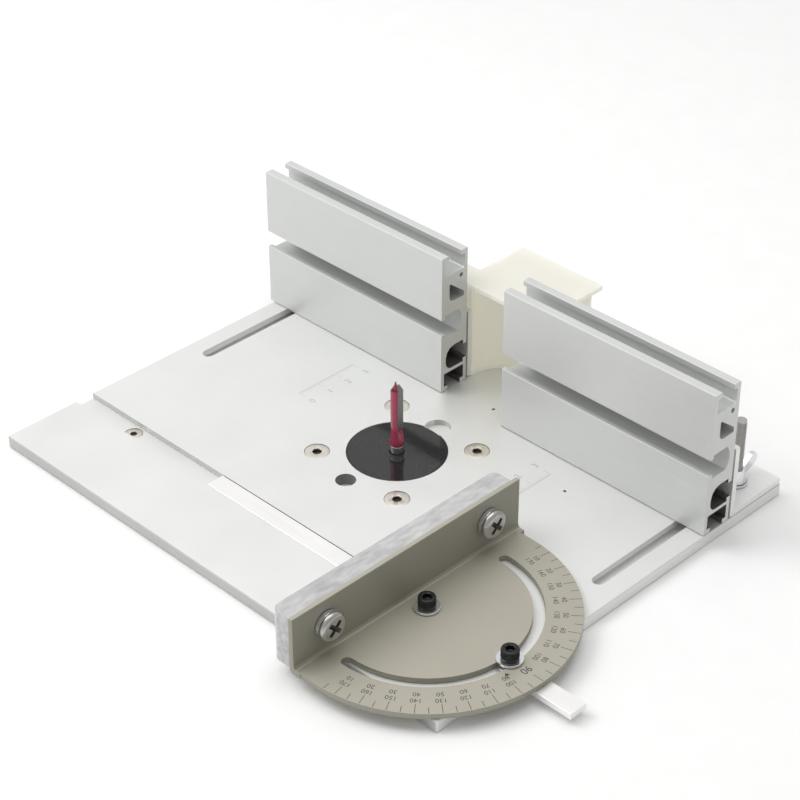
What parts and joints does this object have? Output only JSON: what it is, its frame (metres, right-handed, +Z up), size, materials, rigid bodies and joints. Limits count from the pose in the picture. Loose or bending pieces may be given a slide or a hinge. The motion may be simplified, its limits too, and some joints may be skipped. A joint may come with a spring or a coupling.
{
  "type": "router table",
  "caption": "Bench-top router table: slotted aluminium plate with a bit opening, a split T-slot fence on a sliding bracket with a milky chip guard, and a swinging miter gauge on a bar.",
  "frame": {"origin": "middle of the whole object's footprint, on the plane of the table's underside", "axes": "+X to the operator's right along the miter channel, +Y from the operator towards the fence, +Z up"},
  "size_m": [0.3392, 0.268, 0.0858],
  "materials": {
    "plate": "sandblasted and clear anodised",
    "insert": "glossy black",
    "nickel_screws": "nickel plated",
    "cutter": "crimson enamel with ground edges",
    "fence": "satin anodised extrusion",
    "bracket": "satin",
    "guard": "milky translucent",
    "zinc": "bright zinc",
    "steel_bar": "ground",
    "gauge": "champagne anodised",
    "black_screws": "black oxide",
    "clear_pad": "clear acrylic block"
  },
  "bodies": {
    "table": {"table_plate": "plate", "insert_disc": "insert", "router_screw_front_left": "nickel_screws", "router_screw_front_right": "nickel_screws", "router_screw_rear_left": "nickel_screws", "router_screw_rear_right": "nickel_screws", "channel_screw_left": "nickel_screws", "channel_screw_right": "nickel_screws"},
    "bit": {"router_bit": "cutter"},
    "fence_carriage": {"fence_bracket_left": "bracket", "fence_bracket_right": "bracket", "dust_guard": "guard", "slot_bolt_left": "zinc", "slot_bolt_right": "zinc", "slot_washer_left": "zinc", "slot_washer_right": "zinc", "fence_bolt_left_outer": "zinc", "fence_bolt_left_inner": "zinc", "fence_bolt_right_outer": "zinc", "fence_bolt_right_inner": "zinc", "fence_washer_left_outer": "zinc", "fence_washer_left_inner": "zinc", "fence_washer_right_outer": "zinc", "fence_washer_right_inner": "zinc", "fence_nut_left_outer": "zinc", "fence_nut_left_inner": "zinc", "fence_nut_right_outer": "zinc", "fence_nut_right_inner": "zinc"},
    "left_fence": {"fence_left": "fence"},
    "right_fence": {"fence_right": "fence"},
    "wing_nut_l": {"wing_nut_left": "zinc"},
    "wing_nut_r": {"wing_nut_right": "zinc"},
    "gauge_bar": {"miter_bar": "steel_bar", "pivot_screw": "black_screws", "pivot_washer": "zinc", "lock_washer": "zinc"},
    "gauge_head": {"protractor": "gauge", "face_pad": "clear_pad", "pad_screw_front": "zinc", "pad_screw_rear": "zinc", "spring_washer_front": "zinc", "spring_washer_rear": "zinc", "pad_nut_front": "zinc", "pad_nut_rear": "zinc"},
    "gauge_lock": {"lock_screw": "black_screws"}
  },
  "joints": [
    {"name": "bit_spin", "type": "hinge", "parent": "table", "child": "bit", "pos_m": [-0.0194, 0.0164, 0.0063], "axis": [0, 0, 1], "continuous": true},
    {"name": "fence_travel", "type": "slide", "parent": "table", "child": "fence_carriage", "axis": [0, 1, 0], "range_m": [-0.052, 0.002]},
    {"name": "left_fence_slide", "type": "slide", "parent": "fence_carriage", "child": "left_fence", "axis": [1, 0, 0], "range_m": [-0.015, 0.005]},
    {"name": "right_fence_slide", "type": "slide", "parent": "fence_carriage", "child": "right_fence", "axis": [1, 0, 0], "range_m": [-0.005, 0.015]},
    {"name": "wing_nut_l_turn", "type": "hinge", "parent": "fence_carriage", "child": "wing_nut_l", "pos_m": [-0.1534, 0.11, 0.0149], "axis": [0, 0, 1], "continuous": true},
    {"name": "wing_nut_r_turn", "type": "hinge", "parent": "fence_carriage", "child": "wing_nut_r", "pos_m": [0.1186, 0.11, 0.0149], "axis": [0, 0, 1], "continuous": true},
    {"name": "gauge_travel", "type": "slide", "parent": "table", "child": "gauge_bar", "axis": [1, 0, 0], "range_m": [-0.14, 0.04]},
    {"name": "gauge_swing", "type": "hinge", "parent": "gauge_bar", "child": "gauge_head", "pos_m": [0.0791, -0.0631, 0.0063], "axis": [0, 0, 1], "range_deg": [-85, 85]},
    {"name": "gauge_lock_turn", "type": "hinge", "parent": "gauge_bar", "child": "gauge_lock", "pos_m": [0.1297, -0.0631, 0.0063], "axis": [0, 0, 1], "continuous": true}
  ]
}
